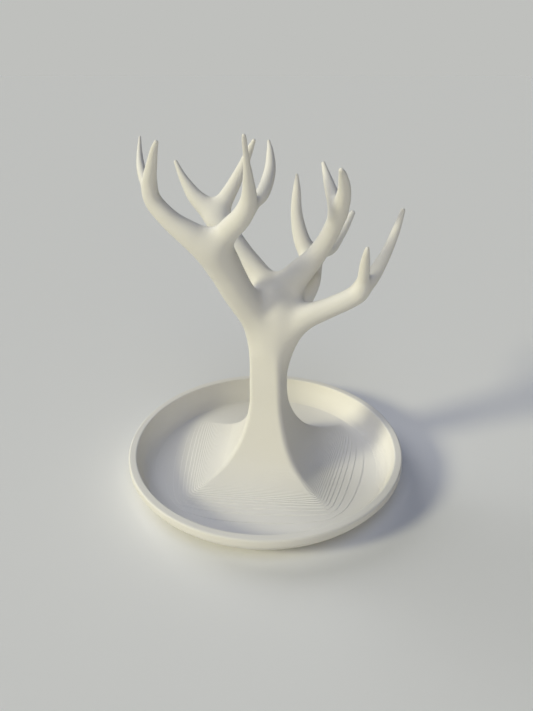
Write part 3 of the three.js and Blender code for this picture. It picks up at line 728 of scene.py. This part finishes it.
# Stem and forks
def make_crown(material):
    """The stem and the forks: one surface, cut at the joints."""
    values, low = crown_values()
    points, quads = surface_net(values, low)
    points = settle(points)
    away = np.hypot(points[:, 0] - RELAXED_MIDDLE, points[:, 1] - RELAXED_MIDDLE)
    height = points[:, 2]
    weight = smoothstep(height, *RELAXED_FROM) * (1 - smoothstep(height, *RELAXED_TO))
    weight *= 1 - smoothstep(away, *RELAXED_REACH)
    points = relax(points, quads, weight, RELAX_TURNS)
    weight = smoothstep(points[:, 2], *RELAXED_FROM)
    points = relax(points, quads, weight, LAST_RELAX_TURNS)
    normals = quad_normals(points, quads)
    mesh = bpy.data.meshes.new("crown")
    mesh.from_pydata([tuple(p) for p in points], [], [tuple(int(i) for i in q) for q in quads])
    bm = bmesh.new()
    bm.from_mesh(mesh)
    bpy.data.meshes.remove(mesh)
    kept = bm.verts.layers.float_vector.new("smooth_normal")
    for vert, normal in zip(bm.verts, normals):
        vert[kept] = normal
    waist = (STEM_OFFSET, 0, WAIST_HEIGHT)
    cut_loop(bm, waist, (0, 0, 1), WAIST_CUT_SHARE * STEM_HALF_WIDTH)
    for limb, share in JOINTS.values():
        place, direction, radius = limb_at(limb, share)
        cut_loop(bm, place, direction, JOINT_CUT_SHARE * radius + 2 * GRID)
    groups = islands(bm)
    clouds = [np.array([v.co for v in group]) for group in groups]
    made = {}
    wanted = ["stem"] + [name for name in JOINTS if not name.endswith("tine")]
    for name in wanted:
        if name == "stem":
            probe = np.array(waist) + (0, 0, PROBE_SHARE * STEM_HALF_WIDTH)
        else:
            place, direction, radius = limb_at(*JOINTS[name])
            probe = place + PROBE_SHARE * radius * direction
        distances = [np.linalg.norm(cloud - probe, axis=1).min() for cloud in clouds]
        nearest = int(np.argmin(distances))
        members = groups[nearest]
        number = {v: i for i, v in enumerate(members)}
        body = {f for v in members for f in v.link_faces}
        faces = [[number[v] for v in f.verts] for f in sorted(body, key=lambda f: f.index)]
        surface = clouds[nearest]
        normals = np.array([v[kept] for v in members])
        normals /= np.maximum(np.linalg.norm(normals, axis=1, keepdims=True), 1e-12)
        smooth = [True] * len(faces)
        faces, smooth, surface, normals = close(faces, smooth, surface, normals)
        made[name] = make_object("printed_" + name, surface, faces, normals, smooth, material)
    bm.free()
    return made


def close(faces, smooth, points, normals):
    """Closes each open end with a fan round its middle."""
    after = {}
    edges = {(a, b) for face in faces for a, b in zip(face, face[1:] + face[:1])}
    for a, b in edges:
        if (b, a) not in edges:
            after[b] = a
    points, normals = list(points), list(normals)
    while after:
        start = next(iter(after))
        loop, here = [start], after.pop(start)
        while here != start:
            loop.append(here)
            here = after.pop(here)
        middle = len(points)
        points.append(np.mean([points[i] for i in loop], axis=0))
        normals.append(np.zeros(3))
        for a, b in zip(loop, loop[1:] + loop[:1]):
            faces.append([a, b, middle])
            smooth.append(False)
    return faces, smooth, np.array(points), np.array(normals)


# Printed white plastic
def printed_plastic():
    material = bpy.data.materials.new("printed_white")
    material.use_nodes = True
    nodes, links = material.node_tree.nodes, material.node_tree.links
    shader = nodes["Principled BSDF"]
    shader.inputs["Base Color"].default_value = PLASTIC_COLOUR
    shader.inputs["Roughness"].default_value = PLASTIC_ROUGHNESS
    shader.inputs["Specular IOR Level"].default_value = PLASTIC_SPECULAR
    place = nodes.new("ShaderNodeTexCoord")

    def noise(waves, detail, rough):
        mapping = nodes.new("ShaderNodeMapping")
        mapping.inputs["Scale"].default_value = waves
        links.new(place.outputs["Object"], mapping.inputs["Vector"])
        texture = nodes.new("ShaderNodeTexNoise")
        texture.inputs["Scale"].default_value = 1.0
        texture.inputs["Detail"].default_value = detail
        texture.inputs["Roughness"].default_value = rough
        links.new(mapping.outputs["Vector"], texture.inputs["Vector"])
        return texture.outputs["Fac"]

    def bump(height, strength, distance):
        node = nodes.new("ShaderNodeBump")
        node.inputs["Strength"].default_value = strength
        node.inputs["Distance"].default_value = distance
        links.new(height, node.inputs["Height"])
        return node

    # Unevenness from layer to layer, long along each layer and short in height, and a fine grain
    layers = bump(noise(LAYER_WAVES, 2, 0.6), *LAYER_BUMP)
    grain = bump(noise(GRAIN_WAVES, 2, 0.5), *GRAIN_BUMP)
    links.new(layers.outputs["Normal"], grain.inputs["Normal"])
    links.new(grain.outputs["Normal"], shader.inputs["Normal"])

    # Faint cloudiness in the sheen
    sheen = nodes.new("ShaderNodeMapRange")
    sheen.inputs["To Min"].default_value, sheen.inputs["To Max"].default_value = ROUGHNESS_RANGE
    links.new(noise(CLOUD_WAVES, 3, 0.6), sheen.inputs["Value"])
    links.new(sheen.outputs["Result"], shader.inputs["Roughness"])
    return material


# Stage
def floor_white():
    material = bpy.data.materials.new("floor_white")
    material.use_nodes = True
    shader = material.node_tree.nodes["Principled BSDF"]
    shader.inputs["Base Color"].default_value = STAGE_COLOUR
    shader.inputs["Roughness"].default_value = STAGE_ROUGHNESS
    shader.inputs["Specular IOR Level"].default_value = 0
    return material


def make_stage():
    mesh = bpy.data.meshes.new("floor")
    corners = [(-1, -1), (1, -1), (1, 1), (-1, 1)]
    mesh.from_pydata([(STAGE_HALF * x, STAGE_HALF * y, 0) for x, y in corners], [], [(0, 1, 2, 3)])
    mesh.materials.append(floor_white())
    floor = bpy.data.objects.new("floor", mesh)
    bpy.context.collection.objects.link(floor)

    world = bpy.data.worlds.new("world")
    bpy.context.scene.world = world
    world.use_nodes = True
    nodes, links = world.node_tree.nodes, world.node_tree.links
    fill = nodes["Background"]
    fill.inputs["Color"].default_value = FILL_COLOUR
    fill.inputs["Strength"].default_value = FILL_STRENGTH
    seen = nodes.new("ShaderNodeBackground")
    seen.inputs["Color"].default_value = SEEN_COLOUR
    seen.inputs["Strength"].default_value = 1.0
    path = nodes.new("ShaderNodeLightPath")
    mix = nodes.new("ShaderNodeMixShader")
    links.new(path.outputs["Is Camera Ray"], mix.inputs["Fac"])
    links.new(fill.outputs["Background"], mix.inputs[1])
    links.new(seen.outputs["Background"], mix.inputs[2])
    links.new(mix.outputs["Shader"], nodes["World Output"].inputs["Surface"])


def add_light(name, azimuth, elevation, spread, strength, colour):
    """Soft far lamp: azimuth from the front to the left, and its width in the sky, in degrees."""
    lamp = bpy.data.lights.new(name, "SUN")
    lamp.angle = math.radians(spread)
    lamp.energy = strength
    lamp.color = colour
    obj = bpy.data.objects.new(name, lamp)
    a, e = math.radians(azimuth), math.radians(elevation)
    away = Vector((-math.sin(a) * math.cos(e), -math.cos(a) * math.cos(e), math.sin(e)))
    obj.location = away
    obj.rotation_euler = (-away).to_track_quat("-Z", "Y").to_euler()
    bpy.context.collection.objects.link(obj)


def add_camera():
    data = bpy.data.cameras.new("camera")
    data.sensor_width = SENSOR_WIDTH
    data.lens = FOCAL_SHARE * SENSOR_WIDTH
    camera = bpy.data.objects.new("camera", data)
    camera.location = CAMERA_PLACE
    camera.rotation_euler = (math.radians(90 - CAMERA_PITCH), 0, 0)
    bpy.context.collection.objects.link(camera)
    bpy.context.scene.camera = camera


plastic = printed_plastic()
pieces = {"dish": make_dish(plastic)}
pieces.update(make_crown(plastic))
for node in JOINTS:
    if node.endswith("tine"):
        pieces[node] = make_tine(node, plastic)
for node, piece in pieces.items():
    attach(piece, "root")
    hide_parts(node)

make_stage()
add_light("key", 68, 25, 12, 1.75, (1.0, 0.96, 0.68))
add_light("front", 0, 20, 50, 0.55, (1.0, 0.89, 0.52))
add_light("sky", 0, 60, 50, 0.80, (0.60, 0.70, 1.0))
add_light("back", 130, 35, 40, 1.10, (0.98, 0.99, 1.0))
add_camera()
bpy.context.scene.view_settings.view_transform = "Standard"
